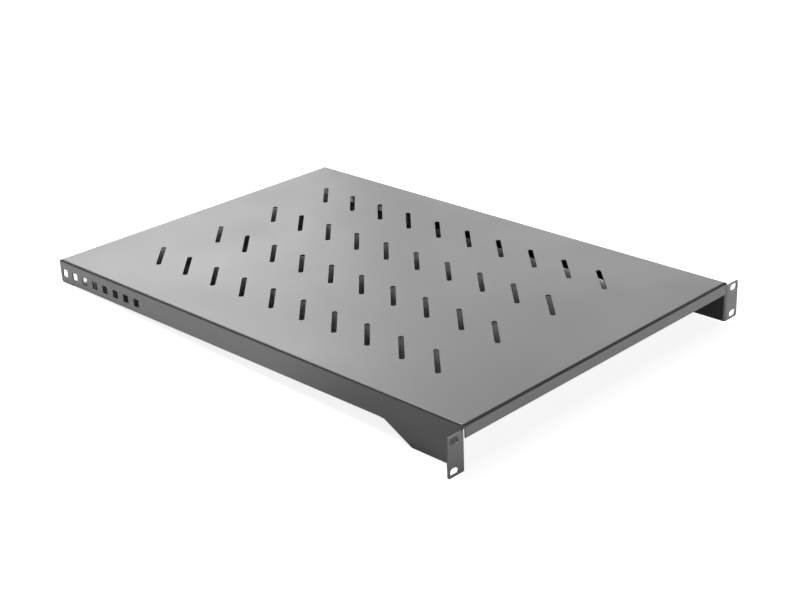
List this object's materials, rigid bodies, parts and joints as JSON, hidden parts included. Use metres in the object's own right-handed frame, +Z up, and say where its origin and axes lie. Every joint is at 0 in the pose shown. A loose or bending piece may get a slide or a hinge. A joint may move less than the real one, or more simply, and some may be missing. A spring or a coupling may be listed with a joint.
{
  "type": "rack shelf",
  "caption": "Fixed rack shelf folded from sheet steel, with diagonal vent slots in the top, sides that deepen to front rack ears, and square cage-nut holes at the back.",
  "frame": {"origin": "centre of the four ear slots, on the plane of the ears' back faces, which sit against the rack's front rails", "axes": "+X to the right seen from the front, +Y to the back of the rack, +Z up"},
  "size_m": [0.4826, 0.65, 0.0478],
  "materials": {
    "painted_sheet": "satin fine-textured powder coat, dark grey"
  },
  "bodies": {
    "root": {"shelf": "painted_sheet"}
  },
  "joints": []
}
